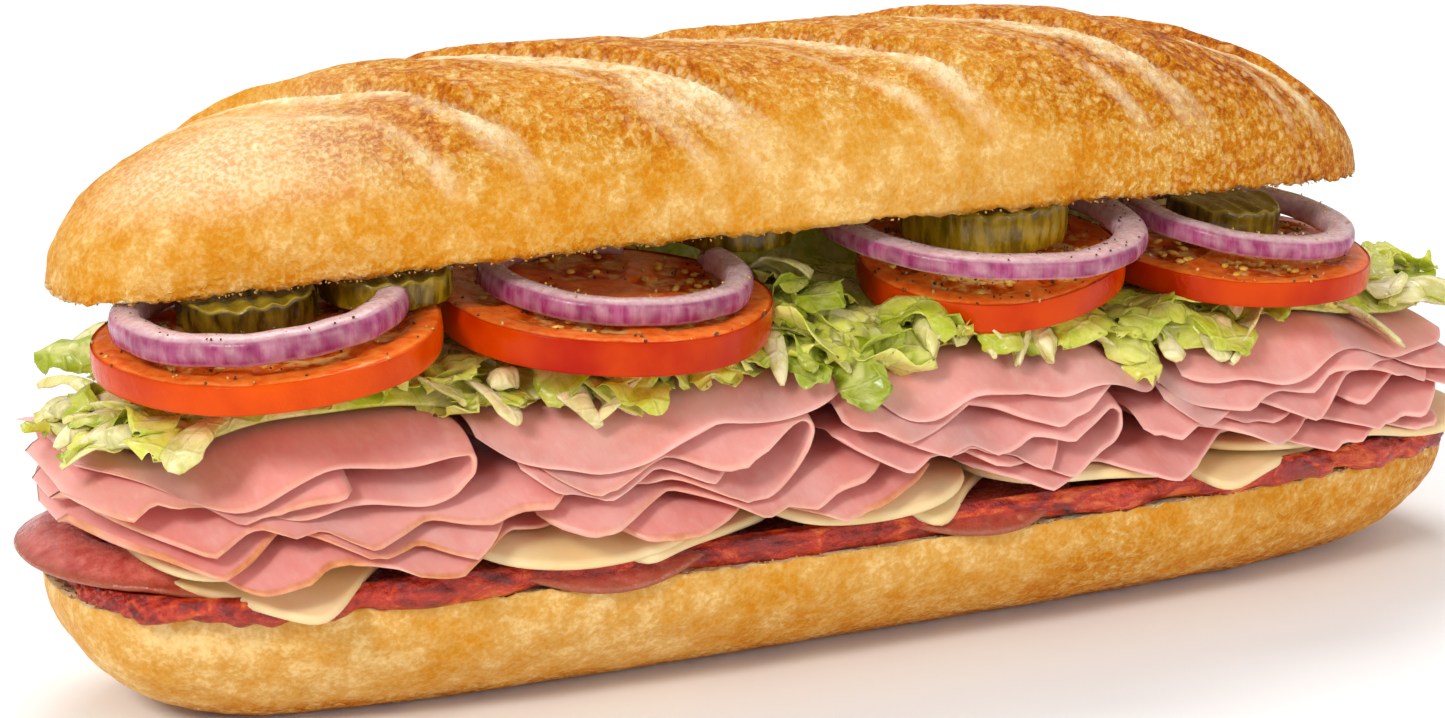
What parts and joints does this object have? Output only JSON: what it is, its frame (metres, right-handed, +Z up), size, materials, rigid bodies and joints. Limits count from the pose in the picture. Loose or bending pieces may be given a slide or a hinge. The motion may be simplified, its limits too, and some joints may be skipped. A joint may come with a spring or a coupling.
{
  "type": "submarine sandwich",
  "caption": "Long crusty roll cut through the side and filled with cured meat, cheese, folded ham, shredded lettuce, tomato, red onion rings and pickle slices",
  "frame": {"origin": "on the ground under the middle of the whole outline", "axes": "+X along the roll, the open front towards -Y, +Z up"},
  "size_m": [0.315, 0.1002, 0.1163],
  "materials": {
    "bread_crust": "matt baked crust",
    "salami": "oily",
    "cheese": "satin",
    "ham": "moist satin",
    "lettuce": "satin",
    "tomato": "wet",
    "onion": "wet",
    "pickle": "wet"
  },
  "bodies": {
    "root": {"bun_bottom": "bread_crust", "salami_1": "salami", "salami_2": "salami", "salami_3": "salami", "salami_4": "salami", "salami_5": "salami", "salami_6": "salami", "salami_7": "salami", "salami_8": "salami", "cheese_1": "cheese", "cheese_2": "cheese", "cheese_3": "cheese", "cheese_4": "cheese", "cheese_5": "cheese", "cheese_6": "cheese", "cheese_7": "cheese", "cheese_8": "cheese", "cheese_9": "cheese", "ham_1": "ham", "ham_2": "ham", "ham_3": "ham", "ham_4": "ham", "ham_5": "ham", "ham_6": "ham", "ham_7": "ham", "ham_8": "ham", "ham_9": "ham", "ham_10": "ham", "ham_11": "ham", "ham_12": "ham", "ham_13": "ham", "ham_14": "ham", "ham_15": "ham", "ham_16": "ham", "ham_17": "ham", "ham_18": "ham", "ham_19": "ham", "ham_20": "ham", "lettuce": "lettuce", "tomato_1": "tomato", "tomato_2": "tomato", "tomato_3": "tomato", "tomato_4": "tomato", "onion_1": "onion", "onion_2": "onion", "onion_3": "onion", "onion_4": "onion", "onion_5": "onion", "pickle_1": "pickle", "pickle_2": "pickle", "pickle_3": "pickle", "pickle_4": "pickle", "pickle_5": "pickle", "bun_top": "bread_crust"}
  },
  "joints": []
}
